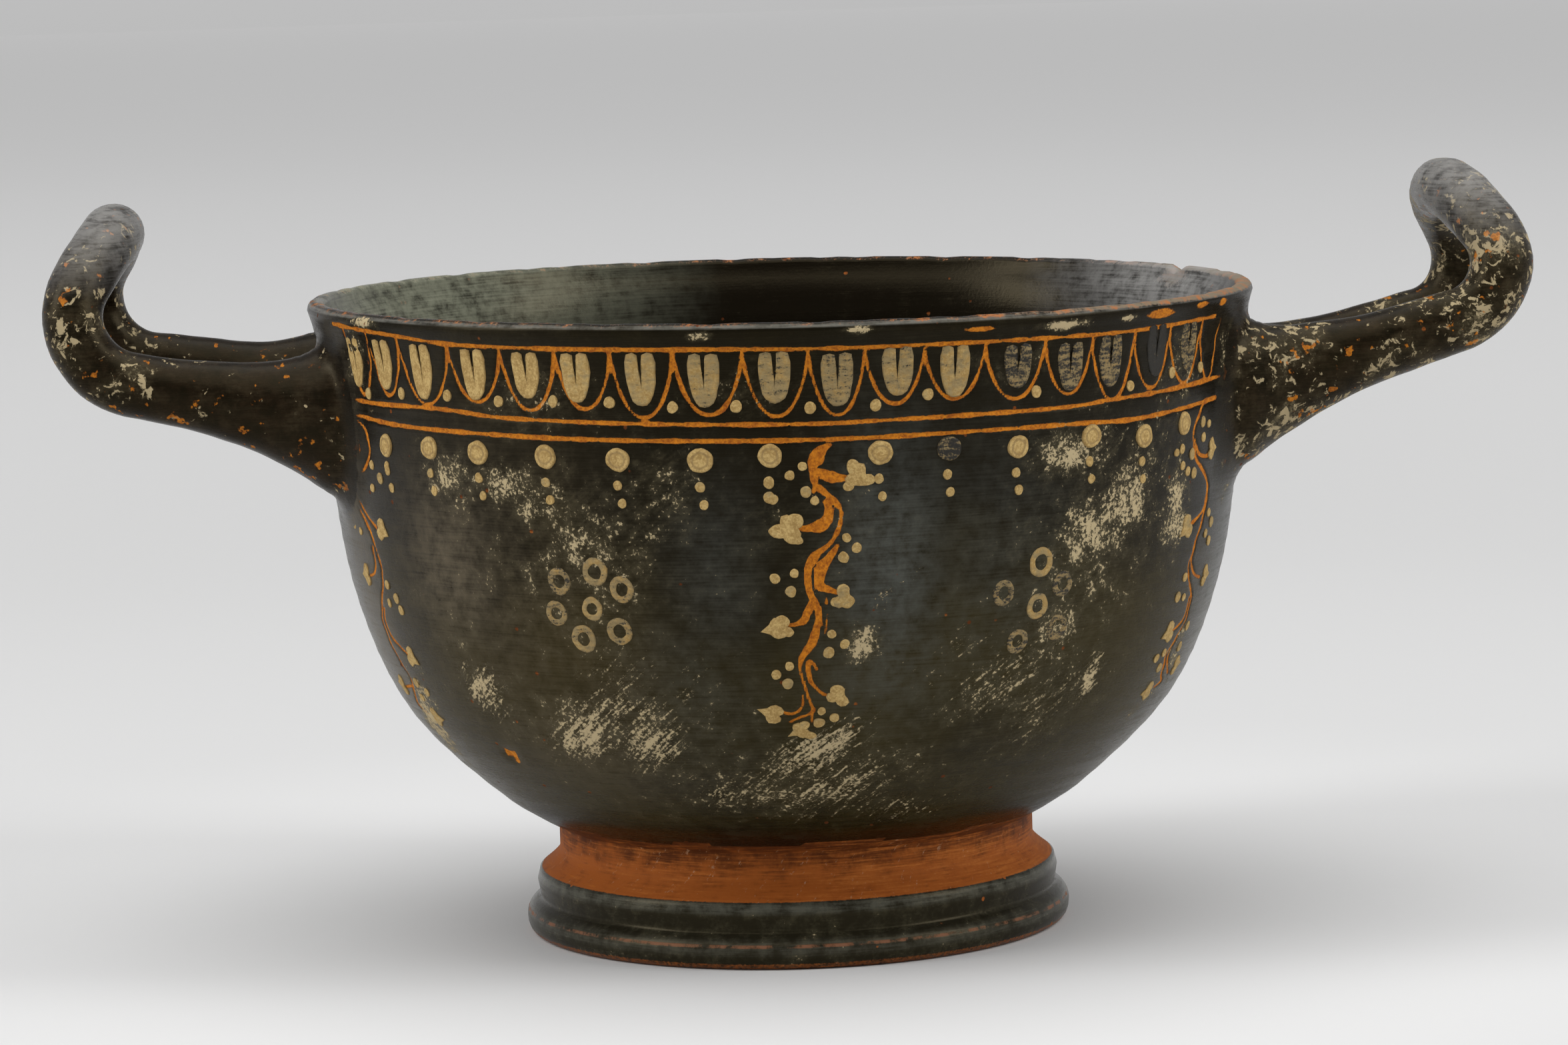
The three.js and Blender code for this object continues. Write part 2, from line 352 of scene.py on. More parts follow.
middle_vine = [
    [(3.3, 78.2, 0.4), (2.5, 77.7, 1.3), (1.8, 76.7, 2.0), (1.4, 75.4, 2.1), (1.3, 73.9, 1.5),
     (1.4, 72.7, 0.6)],
    [(1.7, 74.7, 0.9), (2.8, 73.9, 1.6), (4.2, 73.5, 1.3), (5.6, 73.4, 0.6)],
    [(1.2, 71.7, 0.5), (1.6, 72.4, 0.8), (2.4, 71.7, 0.9), (3.1, 70.8, 0.9), (3.9, 69.9, 0.9),
     (4.4, 68.8, 0.8), (4.3, 67.5, 0.7), (3.9, 66, 0.7), (3.3, 64.8, 0.7), (2.6, 64, 0.8), (1.7, 63.3, 1.0),
     (1, 62.4, 1.1), (0.4, 61.1, 1.0), (0.3, 59.7, 0.9), (0.4, 58.3, 0.9), (0.7, 57.1, 0.9), (1.1, 56, 0.9),
     (1.5, 55.1, 1.0), (1.5, 53.7, 1.0), (1.3, 52.5, 1.0), (1, 51.4, 1.1), (0.6, 50.3, 1.2),
     (-0.1, 49.2, 1.1), (-0.7, 48.1, 0.9), (-0.9, 46.9, 0.6), (-0.7, 45.6, 0.6), (-0.3, 44.1, 0.6),
     (0.1, 42.5, 0.6), (0.5, 41.3, 0.6), (0.7, 40.5, 0.7), (0.1, 39.9, 0.45), (-1, 39.5, 0.4),
     (-2.3, 38.9, 0.4)],
    [(0.6, 40.4, 0.5), (0.5, 38.8, 0.4)],
    [(2.4, 70.4, 0.5), (2.9, 69.4, 1.0), (2.9, 68.2, 1.3), (2.4, 67.3, 1.7), (1.7, 66.9, 2.0),
     (0.8, 66.7, 1.2), (-0.2, 66.7, 0.8), (-0.7, 66.9, 0.4)],
    [(3.9, 64.1, 0.6), (3.3, 63.1, 1.1), (2.7, 62.2, 1.2), (1.9, 61, 1.4), (1.6, 59.8, 1.4), (1.7, 58.6, 1.4),
     (2.3, 58.2, 1.2), (3.2, 57.8, 0.8), (4, 57.4, 0.4)],
    [(0.7, 56.1, 0.8), (0.2, 54.9, 1.2), (-0.2, 53.8, 1.2), (-0.8, 53.4, 0.9), (-1.6, 53.1, 0.8),
     (-2.4, 53.2, 0.4)],
    [(2.4, 56.7, 0.4), (2.5, 56, 0.4)],
    [(2.6, 54.5, 0.4), (2.4, 52.7, 0.4), (2.3, 51.6, 0.4)],
    [(1.2, 46.6, 0.4), (0.8, 47.4, 0.5), (0.3, 47.8, 0.5), (0.1, 47.1, 0.7), (0.2, 45.9, 0.7),
     (0.5, 44.7, 0.6), (1.2, 43.7, 0.5), (2, 42.9, 0.45), (3, 42.5, 0.4)],
    [(-0.6, 42.8, 0.4), (-0.6, 41.6, 0.4), (-1.1, 40.6, 0.45), (-2, 40.1, 0.5), (-3, 40.3, 0.5),
     (-3.7, 40.9, 0.4)],
]
left_vine = [
    [(-65.1, 80.1), (-63.7, 78.9), (-63, 77.2), (-63.1, 75.4), (-64.4, 73.5), (-66.4, 72.1), (-67.7, 71.1),
     (-68.7, 69.9), (-68.7, 68.4), (-68.3, 66.9), (-67.4, 65.2), (-66.1, 63.6), (-65.5, 61.6), (-64.8, 59.9),
     (-64.7, 58.1), (-65.3, 56.3), (-66.6, 54.3), (-68.1, 52.3), (-69.3, 50.4), (-69.5, 48.5), (-69.2, 46.7),
     (-68.6, 45), (-67.7, 43.5), (-67.1, 42.3), (-67.3, 40.9), (-68.6, 39.4), (-69.7, 37.9), (-69.2, 36.9),
     (-67.6, 36.2)],
    [(-65.6, 78.2), (-65.3, 76.5), (-65.7, 74.7), (-66.7, 73.7), (-68.3, 73.6)],
    [(-68.1, 69.2), (-67.6, 67.7), (-66.6, 66.3), (-65.5, 65.4), (-64.1, 64.6)],
    [(-66.4, 61.5), (-66.3, 60), (-66.7, 58.6), (-67.6, 57.5), (-69.6, 56.9)],
    [(-67.3, 52.4), (-68.3, 50.2), (-68.1, 48.2), (-66, 46.9), (-63.7, 45.5)],
    [(-67.8, 40.6), (-73, 39.7)],
]
right_vine = [
    [(60.2, 78.9), (59.1, 77.6), (58, 76), (57.6, 74.4), (58, 72.7), (58.9, 70.9), (60.7, 69.5), (62.3, 68.1),
     (63.3, 66.5), (63.5, 65), (63, 63.4), (62.4, 61.3), (61.4, 59.5), (60.7, 57.6), (60.1, 55.8), (60.5, 54),
     (62.1, 52.1), (63.4, 50.4), (63.8, 48.6), (63.7, 46.7), (62.7, 45.1), (61.7, 43.8), (60.7, 42.4),
     (61.2, 40.6), (62.1, 39), (63.2, 37.9), (61.4, 37.3)],
    [(58, 74.1), (58.8, 72.6), (60, 71.5), (62, 71.1), (63.3, 71.4)],
    [(63, 67), (63.2, 65), (62.2, 63), (59.1, 61.6)],
    [(61.3, 59.2), (60.7, 56.6), (61.4, 54.8), (62.8, 53.7), (65.1, 53)],
    [(62.7, 50.3), (63.1, 48.2), (62.3, 46.9), (60.1, 45.9)],
    [(61.6, 42.8), (62.1, 41), (64.9, 38.8)],
]
strokes += middle_vine
for vine in (left_vine, right_vine):
    for stroke in vine:
        widths = [VINE_WIDTH if height > 60 else VINE_TAIL_WIDTH for _, height in stroke]
        strokes.append([(*spot, width) for spot, width in zip(stroke, widths)])

marks = []
for stroke in strokes:
    flat = [np.array((angle * MM_PER_DEGREE, height, angle, width)) for angle, height, width in stroke]
    for _, height, angle, width in spline(flat, STROKE_STEP):
        spot = on_wall(angle, height)
        pressed = 1 + 0.4 * noise.noise(Vector(spot) * 0.4) + 0.15 * noise.noise(Vector(spot) * 1.1)
        marks.append((*spot, width / 2 * pressed))
marks = np.array(marks)
scratch = kdtree.KDTree(len(marks))
for number, mark in enumerate(marks):
    scratch.insert(mark[:3], number)
scratch.balance()


def to_scratch(spot):
    """How far a point of the wall is outside the nearest scratched stroke, negative inside it."""
    if spot[2] < 30 or spot[2] > 94.5:
        return UNCUT
    if abs(math.hypot(spot[0], spot[1]) - np.interp(spot[2], wall_heights, wall_radii)) > 0.6:
        return UNCUT
    _, number, away = scratch.find(spot)
    return min(away - marks[number][3], UNCUT)


# The joints of the handles are smoothed with a wet finger, and the wall is cut finer where it is scratched.
FILLET, UNDER_LIP, SEAM_ANGLE = 5.5, 93.5, math.radians(24)
SMOOTHINGS, SMOOTHING_ROUNDS, FINER_WITHIN = (0.8, 0.5, 0.25), 6, (1.1, 0.45)
body = bmesh.new()
body.from_mesh(cup.data)
for vertex in body.verts:
    vertex.co /= MM
bmesh.ops.remove_doubles(body, verts=body.verts, dist=0.004)
seam = set()
for edge in body.edges:
    if len(edge.link_faces) == 2 and edge.calc_face_angle(0) > SEAM_ANGLE:
        middle = (edge.verts[0].co + edge.verts[1].co) / 2
        if 60 < middle.z < 94 and abs(middle.y) < 34 and math.hypot(middle.x, middle.y) > 66:
            seam.update(edge.verts)
joint = kdtree.KDTree(len(seam))
for number, vertex in enumerate(vertex for vertex in body.verts if vertex in seam):
    joint.insert(vertex.co, number)
joint.balance()
body.normal_update()
to_joint = {}
for vertex in body.verts:
    out = math.hypot(vertex.co.x, vertex.co.y) - np.interp(vertex.co.z, wall_heights, wall_radii)
    if 50 < vertex.co.z < UNDER_LIP and out > -0.4:
        away = joint.find(vertex.co)[2]
        if away < FILLET:
            to_joint[vertex] = away
for vertex, away in to_joint.items():
    below_lip = min((UNDER_LIP - vertex.co.z) / 3, 1)
    vertex.co += vertex.normal * below_lip * FILLET / 4 * (1 - away / FILLET) ** 2
every_axis = dict(use_axis_x=True, use_axis_y=True, use_axis_z=True)
for reach in SMOOTHINGS:
    wetted = [vertex for vertex, away in to_joint.items() if away < reach * FILLET]
    for _ in range(SMOOTHING_ROUNDS):
        bmesh.ops.smooth_vert(body, verts=wetted, factor=0.5, **every_axis)
for reach in FINER_WITHIN:
    near = {vertex: to_scratch(vertex.co) for vertex in body.verts}
    picked = [face for face in body.faces if min(near[v] for v in face.verts) < reach]
    picked = [face for face in picked if reach > 1 or face.verts[0].co.y < 0]
    around = {edge for face in picked for edge in face.edges}
    edges = [edge for edge in body.edges if edge in around]
    bmesh.ops.subdivide_edges(body, edges=edges, cuts=1, use_grid_fill=True)
bmesh.ops.triangulate(body, faces=[face for face in body.faces if len(face.verts) > 4])

# The surface of the cup has led a buried life: lime crust and wiped smears of it, a grey bloom on the glaze
# that is partly a painted sheen and a painted reflection at the bowl's edges, pinholes, chips and a rubbed
# lip.
# Each patch is an angle, a height, its half width and half height in millimetres, a slant in degrees and a
# strength. The far side is worn in keeping, with fewer patches.
CRUST = [
    (-37, 73, 6, 3, 0, 0.66), (-32, 70, 5, 4, 0, 0.62), (-27, 65, 6, 5, 15, 0.64), (-32, 62, 4, 4, 0, 0.55),
    (-22, 62, 4, 6, 0, 0.56), (-16, 73, 6, 5, 0, 0.54), (-18, 68, 4, 4, 0, 0.52), (-46, 73, 6, 4, 0, 0.62),
    (-4, 27, 15, 3, 0, 0.55), (7, 50, 2.2, 2.2, 40, 0.9), (39, 63, 7, 6, 40, 0.74), (44, 67, 5, 5, 0, 0.78),
    (34, 74.5, 6, 3, 0, 0.8), (38, 58, 5, 7, 0, 0.6), (34, 49, 6, 5, 30, 0.62), (54, 64, 3, 6, 0, 0.8),
    (64, 42, 3, 4, 20, 0.6), (60, 36, 3, 3, 0, 0.55), (-67, 36, 3, 7, -30, 0.8), (-72, 75, 2, 8, 0, 0.8),
    (70, 75, 3, 9, 0, 0.8), (67, 86, 3, 6, 0, 0.6), (-50, 50, 10, 12, 0, 0.35), (-32, 85, 9, 4, 0, 0.5),
    (-29, 63, 17, 15, 0, 0.46), (38, 58, 15, 18, 0, 0.46), (-2, 31, 32, 7, 0, 0.46),
    (-27, 38, 22, 8, 0, 0.44), (30, 40, 16, 9, 0, 0.44), (0, 68, 14, 12, 0, 0.34), (48, 74, 8, 6, 0, 0.5),
    (-8, 85, 10, 4, 0, 0.4), (32, 93, 3.2, 0.5, 0, 1.1), (42, 93.2, 1.4, 0.4, 0, 1.0),
    (7, 94, 1.8, 0.4, 0, 1.0), (-11, 93.6, 1.2, 0.5, 0, 1.0), (-60, 94.2, 2.8, 0.7, 0, 1.0),
    (54, 84, 7, 5, 0, 0.5), (26, 88, 5, 3, 0, 0.45), (-64, 88, 4, 6, 0, 0.5), (140, 60, 16, 12, 20, 0.6),
    (205, 45, 18, 10, -20, 0.55), (178, 78, 14, 5, 0, 0.45), (165, 28, 16, 4, 0, 0.6),
    (120, 40, 10, 14, 0, 0.45), (240, 70, 12, 12, 0, 0.5), (250, 50, 14, 18, 0, 0.4),
    (95, 45, 14, 18, 0, 0.45),
]
SMEARS = [
    (-47, 42, 4, 4, 30, 0.85), (-32, 37, 7, 4, 30, 0.85), (-25, 41, 6, 5, 35, 0.7), (-22, 36, 5, 4, 30, 0.85),
    (-26, 46, 7, 5, 35, 0.6), (1, 34, 8, 3, 25, 0.85), (-10, 28, 8, 3, 10, 0.7), (4, 28, 9, 4, 10, 0.75),
    (17, 24, 8, 2.5, 0, 0.65), (26, 43, 8, 4, 20, 0.7), (42, 42, 1.6, 3.5, 0, 0.9), (34, 38, 7, 6, 40, 0.6),
    (10, 57, 5, 1.6, 30, 0.6), (20, 48, 9, 5, 30, 0.5), (36, 76, 12, 3, 0, 0.55), (-14, 44, 8, 6, 30, 0.5),
    (150, 35, 14, 6, 30, 0.7), (190, 60, 14, 8, -30, 0.6), (225, 30, 12, 5, 20, 0.7),
    (100, 60, 8, 10, 30, 0.5),
]
# Bloom patches: partly a grey bloom on the glaze, partly a painted sheen, and at the bowl's edges a painted
# reflection.
BLOOM_AND_SHEEN = [
    (10, 61, 5, 11, 0, 1.0), (15, 67, 8, 7, 0, 0.2), (10, 48, 7, 7, 0, 0.6), (-48, 61, 6, 8, 0, 1.0),
    (-40, 55, 14, 16, 0, 0.4), (-20, 44, 10, 8, 0, 0.45), (24, 58, 10, 12, 0, 0.4), (-33, 36, 10, 6, 0, 0.5),
    (-11, 60, 5, 8, 0, 0.45), (-71, 58, 4, 20, 0, 0.8), (73, 52, 3, 14, 0, 0.6), (170, 60, 10, 14, 0, 0.7),
]
FLAKES = [(48, 93.3, 3.2, 0.7), (57, 93.7, 2.0, 0.5), (63, 93.6, 1.4, 0.5), (21, 93.2, 2.2, 0.4)]
CHIP_TURN, CHIP_LEVEL, CHIP_DEPTH, GROOVE_DEPTH = -49.4, 32.0, 0.55, 0.16
NECK_BOTTOM, NECK_TOP = 9.55, 17.9
BATTERED_TURN, BATTERED_SPAN, LIP_LEAN = 113, 11, 0.0077
spots = np.array([vertex.co for vertex in body.verts])
body.normal_update()
normals = np.array([vertex.normal for vertex in body.verts])
radius = np.hypot(spots[:, 0], spots[:, 1])
angle = np.degrees(np.arctan2(spots[:, 0], -spots[:, 1]))
height = spots[:, 2]
wall_here = np.interp(height, wall_heights, wall_radii)
outside = (np.abs(radius - wall_here) < 0.5) & (height > 16)
inside = (radius < wall_here - 1.2) & (height > 16.5)
cut = np.array([to_scratch(spot) if is_wall else UNCUT for spot, is_wall in zip(spots, outside)])


def ramp(value, start, end):
    """Nought at the start, one at the end and straight between them."""
    return np.clip((value - start) / (end - start), 0, 1)


def patched(patches):
    """How strongly each point of the wall is covered by the patches."""
    cover = np.zeros(len(spots))
    for turn, level, wide, tall, slant, strength in patches:
        arc = ((angle - turn + 180) % 360 - 180) * math.pi / 180 * wall_here
        rise = height - level
        c, s = math.cos(math.radians(slant)), math.sin(math.radians(slant))
        gap = ((arc * c + rise * s) / wide) ** 2 + ((rise * c - arc * s) / tall) ** 2
        cover = np.maximum(cover, strength * np.exp(-gap * 0.36) * outside)
    return cover


crust, smear, bloom_and_sheen = patched(CRUST), patched(SMEARS), patched(BLOOM_AND_SHEEN)
on_handle = ramp(radius - wall_here, 0.3, 1.5) * (height > 55)
clumps = np.array([noise.noise(Vector(spot) * 0.13) + 0.5 * noise.noise(Vector(spot) * 0.31)
                   for spot in spots])
left_worn = 0.2 + 0.2 * ramp(radius, 84, 94) + 0.2 * ramp(radius, 75, 69)
right_worn = 0.28 + 0.26 * ramp(radius, 84, 94) + 0.3 * ramp(radius, 86, 76)
handle_worn = np.where(spots[:, 0] < 0, left_worn, right_worn) + 0.42 * clumps
crust = np.maximum(crust, handle_worn * on_handle)
crust = np.maximum(crust, 0.26 * (height < 10) * (radius > 36))

arc, rise = (angle - CHIP_TURN) * math.pi / 180 * wall_here, height - CHIP_LEVEL
chip = (1 - np.hypot((arc * 0.85 - rise * 0.5) / 1.9, (rise * 0.85 + arc * 0.5) / 0.8)) * outside
wobble = np.sin(np.radians(angle * 11)) * 0.25 + np.sin(np.radians(angle * 27 + 40)) * 0.15
on_neck = (height > NECK_BOTTOM) & (height < NECK_TOP + wobble) & (radius < 39.2) & (radius > 33)
bare = np.where(on_neck, 1.0, 0.0)
bare = np.where((height < 0.9) & (radius > 33), 0.46, bare)
bare = np.maximum(bare, np.clip(chip * 4, 0, 1))
for turn, level, wide, tall in FLAKES:
    flaked = 1.5 - np.hypot((angle - turn) * 1.2 / wide, (height - level) / tall)
    bare = np.maximum(bare, np.clip(flaked, 0, 1) * outside)
flaked = 1.4 - np.hypot((angle - 121) * 1.1 / 3.0, height - 90.5)
bare = np.maximum(bare, np.clip(flaked, 0, 1) * inside)
battered = ramp(np.abs(angle - BATTERED_TURN), BATTERED_SPAN, 0)
lip = ramp(height, 94.0, 94.8) * (radius > 66.5) * (radius < 70.6)
lip = lip * (1 + 0.5 * ramp(angle, 15, 55) * ramp(angle, 130, 110))
lip = np.maximum(lip, 1.5 * battered * ramp(height, 90.5, 92.5))
lip = np.maximum(lip, 0.85 * ramp(np.abs(angle - 42), 9, 0) * ramp(height, 91.8, 93.0) * outside)
# A greenish film lies on the inner left wall; the pale patch inside the right rim and the pale handle tops
# are a painted sheen.
film_and_sheen = ramp(height, 58, 88) * ramp(np.abs(angle + 122), 52, 12) * inside
film_and_sheen = np.maximum(film_and_sheen, ramp(height, 82, 90) * ramp(np.abs(angle - 114), 28.6, 6.6) * inside)
film_and_sheen = np.maximum(film_and_sheen, 0.8 * on_handle * ramp(height, 98, 109))

groove = GROOVE_DEPTH * ramp(cut, 0.12, -0.18)
hollowed = CHIP_DEPTH * np.clip(chip * 1.5, 0, 1)
ripple = np.where(outside, 0.035 * np.sin(height * 1.9 + 0.6 * np.sin(height * 0.31)), 0)
ripple = np.where(inside, 0.06 * np.sin(height * 1.1 + np.radians(angle)), ripple)
spots = spots + normals * (ripple - groove - hollowed)[:, None]
leaning = ramp(height, 84, 95) * ramp(radius - wall_here, 12, 0)
spots[:, 2] -= LIP_LEAN * spots[:, 0] * leaning
nibble = np.clip(np.sin(np.radians(angle * 26)) + np.sin(np.radians(angle * 61)), 0, 2)
spots[:, 2] -= nibble * ramp(height, 93, 95) * (0.1 + 0.45 * battered) * (radius > 66)

for vertex, spot in zip(body.verts, spots):
    vertex.co = Vector(spot) * MM
body.to_mesh(cup.data)
body.free()
cup.data.materials.clear()
cup.data.materials.append(glaze)
wear = (("cut", cut), ("crust", crust), ("smear", smear), ("bloom_and_sheen", bloom_and_sheen), ("bare", bare), ("lip", lip),
        ("film_and_sheen", film_and_sheen), ("handle", on_handle), ("inside", inside))
for label, values in wear:
    layer = cup.data.attributes.new(label, "FLOAT", "POINT")
    layer.data.foreach_set("value", values.astype(np.float32))
cup.data.shade_smooth()


def surface(material):
    """A fresh node tree for a material, and places on the piece in millimetres."""
    material.use_nodes = True
    tree = material.node_tree
    tree.nodes.clear()
    here = Socket(tree)
    place = here.make("ShaderNodeTexCoord", None, None, 3)
    place = here.make("ShaderNodeVectorMath", {"operation": "SCALE"}, {0: place, "Scale": 1 / MM})
    return here, place


def parts(vector):
    node = vector.make("ShaderNodeSeparateXYZ", None, {0: vector}).out.node
    return [Socket(vector.tree, out) for out in node.outputs]


def speckle(place, scale, detail, rough):
    inputs = {"Vector": place, "Scale": scale, "Detail": detail, "Roughness": rough}
    return place.make("ShaderNodeTexNoise", None, inputs)


def fade(value, low, high):
    inputs = {"Value": value, "From Min": low, "From Max": high}
    return value.make("ShaderNodeMapRange", {"interpolation_type": "SMOOTHSTEP"}, inputs)


def band(value, middle, edge, core):
    """One close to the middle value, and nought from the edge of the band on."""
    return fade(value.math("ABSOLUTE", value - middle), edge, core)


def most(value, *others):
    """The greatest of several values."""
    for other in others:
        value = value.math("MAXIMUM", value, other)
    return value


def mixed(share, first, second):
    """A colour between two, by a share from nought to one."""
    return share.make("ShaderNodeMix", {"data_type": "RGBA"}, {0: share, 6: first, 7: second}, 2)


def attribute(here, name):
    return here.make("ShaderNodeAttribute", {"attribute_name": name}, None, 2)


def finish_surface(here, inputs):
    skin = here.make("ShaderNodeBsdfPrincipled", None, inputs)
    here.make("ShaderNodeOutputMaterial", None, {"Surface": skin})


BLACK = (0.0042, 0.0032, 0.0016, 1)
OLIVE = (0.0300, 0.0215, 0.0036, 1)
BROWN = (0.0150, 0.0085, 0.0045, 1)
GREEN_BLACK = (0.0190, 0.0165, 0.0095, 1)
GREY_BLOOM_AND_REFLECTION = (0.050, 0.043, 0.024, 1)
BLUE_BLOOM_SHEEN = (0.084, 0.092, 0.086, 1)
WARM_BLOOM_SHEEN = (0.120, 0.098, 0.066, 1)
THIN_LIME = (0.105, 0.088, 0.050, 1)
THICK_LIME = (0.50, 0.40, 0.235, 1)
CLAY = (0.34, 0.092, 0.017, 1)
SCRATCHED_CLAY = (0.62, 0.215, 0.016, 1)
STAINED_AND_SHADED_CLAY = (0.085, 0.022, 0.006, 1)
LIGHT_CLAY = (0.50, 0.165, 0.035, 1)
DARK_SCORED_CLAY = (0.24, 0.06, 0.010, 1)
RUBBED_GREY = (0.20, 0.160, 0.110, 1)
RUBBED_ORANGE = (0.40, 0.140, 0.042, 1)
PALE_NICK = (0.42, 0.26, 0.15, 1)
FOOT_LINE = (0.24, 0.115, 0.075, 1)
FOOT_MOTTLING = (0.060, 0.055, 0.034, 1)
MOULDING_HIGHLIGHT = (0.112, 0.112, 0.090, 1)
LIP_HIGHLIGHT = (0.17, 0.165, 0.145, 1)
HOLLOW_SHADE_BLACK = (0.0048, 0.0034, 0.0022, 1)
GREEN_FILM = (0.205, 0.212, 0.155, 1)
PALE_SHEEN = (0.27, 0.265, 0.255, 1)
WARM_GLOSS = (1.0, 0.82, 0.48, 1)
MIDDLE_RADIUS, RELIEF_DEPTH = 66.0, 0.0003

here, place = surface(glaze)
sideways, forward, up = parts(place)
arc = here.math("ARCTAN2", sideways, forward * -1.0) * MIDDLE_RADIUS
from_axis = here.math("SQRT", sideways * sideways + forward * forward)
wheel = here.make("ShaderNodeCombineXYZ", None, {"X": arc * 0.10, "Y": up * 3.0, "Z": from_axis * 0.3})
brushed = speckle(wheel, 1.0, 6.0, 0.62)
slanted = {"X": arc * 0.22 + up * 0.15, "Y": up * 1.3 - arc * 0.9, "Z": sideways * 0.09 + forward * 0.13}
wiping = here.make("ShaderNodeCombineXYZ", None, slanted)
wiped = speckle(wiping, 0.8, 9.0, 0.72)
broad = speckle(place, 0.04, 4.0, 0.6)
cloudy = speckle(place, 0.35, 9.0, 0.68)
grain = speckle(place, 2.0, 6.0, 0.68)
on_handle, inside_here = attribute(here, "handle"), attribute(here, "inside")
crusted = attribute(here, "crust")
# Painted reflection: the lower wall is lighter and more olive, as if lit from the floor; the rest of the tone
# is random.
lower_wall_reflection = fade(up, 82.0, 42.0) * fade(up, 16.0, 24.0)
tone = fade(lower_wall_reflection * 0.3 + broad * 0.55 + cloudy * 0.2 + brushed * 0.15, 0.46, 0.92)
colour = mixed(tone, BLACK, OLIVE)
colour = mixed(on_handle * fade(cloudy, 0.3, 0.7), colour, BROWN)
colour = mixed(fade(up, 11.0, 8.0) * 0.7, colour, GREEN_BLACK)
# Painted highlight: pale bands along the edges of the foot mouldings.
moulding = band(up, 8.7, 1.3, 0.2) + 0.6 * band(up, 3.2, 1.6, 0.3)
moulding = moulding * fade(from_axis, 37.4, 38.2) * fade(cloudy * 0.6 + brushed * 0.4, 0.34, 0.62)
mottled = fade(up, 10.5, 8.5) * fade(cloudy * 0.7 + grain * 0.3, 0.44, 0.62)
colour = mixed(mottled * 0.35, colour, FOOT_MOTTLING)
# Painted highlight: a pale line along the top edge of the lip.
lip_highlight = band(up + LIP_LEAN * sideways, 94.7, 0.4, 0.1) * fade(from_axis, 69.1, 69.6)
lip_highlight = lip_highlight * fade(from_axis, 71.4, 70.8) * fade(cloudy * 0.5 + brushed * 0.5, 0.36, 0.58)
colour = mixed(lip_highlight * 0.75, colour, LIP_HIGHLIGHT)
colour = mixed(moulding * 0.75, colour, MOULDING_HIGHLIGHT)
# Painted shade: the inside of the bowl is darkened to near black.
colour = mixed(inside_here * 0.8, colour, HOLLOW_SHADE_BLACK)
dusty = fade(cloudy * 0.45 + brushed * 0.4 + grain * 0.15 + crusted * 0.1, 0.50, 0.70)
# The grey bloom is a real deposit, made stronger low on the wall as a painted reflection of the floor.
colour = mixed(dusty * (0.14 + 0.22 * lower_wall_reflection + 0.1 * on_handle), colour, GREY_BLOOM_AND_REFLECTION)
# Painted sheen: the bloom patches lighten the glaze to a warm or blue-grey sheen, partly a real bloom.
sheen = attribute(here, "bloom_and_sheen") * fade(brushed * 0.3 + cloudy * 0.7, 0.26, 0.66)
colour = mixed(sheen * 0.8, colour, mixed(fade(arc, -35.0, -12.0), WARM_BLOOM_SHEEN, BLUE_BLOOM_SHEEN))
hazed = fade(crusted * 0.42 + cloudy * 0.5 + wiped * 0.3, 0.52, 0.84)
colour = mixed(hazed * (0.7 - 0.4 * on_handle), colour, THIN_LIME)
limed = fade((crusted - on_handle * 0.12) * 0.36 + cloudy * 0.55 + grain * 0.62, 0.80, 0.875)
smeared = fade(attribute(here, "smear") * 0.34 + wiped * 0.62 + grain * 0.48, 0.765, 0.86)
flecks = speckle(place, 0.62, 7.0, 0.66)
flecks.out.node.inputs["Distortion"].default_value = 0.6
flecked = on_handle * fade(flecks + crusted * 0.27, 0.70, 0.745)
lime = most(limed * (1.0 - 0.5 * on_handle), flecked * 0.85, smeared)
colour = mixed(lime * 0.92, colour, mixed(fade(lime, 0.3, 0.95), THIN_LIME, THICK_LIME))

cells = here.make("ShaderNodeTexVoronoi", None, {"Vector": place, "Scale": 0.3})
cell_tints = Socket(here.tree, cells.out.node.outputs[1])
chosen = fade(parts(cell_tints)[0], 0.70, 0.74)
pinhole = fade(cells + grain * 0.12, 0.17, 0.13) * chosen
scraped = on_handle * fade(speckle(place, 0.45, 5.0, 0.55), 0.63, 0.67)
uneven = attribute(here, "cut") + (grain - 0.5) * 0.42 + (cloudy - 0.5) * 0.3
scratched = fade(uneven, 0.05, -0.07)
stripped = fade(attribute(here, "bare") + (grain - 0.5) * 0.5, 0.35, 0.6)
rubbed = fade(attribute(here, "lip") * 0.34 + cloudy * 0.45 + grain * 0.4, 0.76, 0.86)
groove_line = band(up + (cloudy - 0.5) * 0.3, 3.5, 0.30, 0.10)
groove_line = groove_line * fade(from_axis, 37.0, 38.0) * fade(cloudy, 0.42, 0.58) * 0.7
exposed = most(scratched, stripped, pinhole, scraped * 0.8, rubbed * 0.85, groove_line)
# Painted shadow: bare clay is darker from the top of the neck upwards, as under the bowl; besides that it
# varies at random.
out_of_bowl_shadow = fade(up, 18.0, 11.0)
clean_and_lit = fade(brushed * 0.35 + cloudy * 0.45 + out_of_bowl_shadow * 0.2, 0.36, 0.62)
clay = mixed(clean_and_lit, STAINED_AND_SHADED_CLAY, CLAY)
lighter = fade(brushed * 0.5 + broad * 0.3 + grain * 0.2, 0.50, 0.66)
clay = mixed(lighter * 0.7, clay, LIGHT_CLAY)
rubbed_clay = mixed(fade(cloudy, 0.48, 0.64), RUBBED_GREY, RUBBED_ORANGE)
clay = mixed(rubbed, clay, rubbed_clay)
scored = mixed(fade(grain * 0.7 + cloudy * 0.3, 0.34, 0.62), DARK_SCORED_CLAY, SCRATCHED_CLAY)
chipped = most(scraped, stripped * fade(up, 20.0, 24.0))
clay = mixed(most(scratched, chipped), clay, scored)
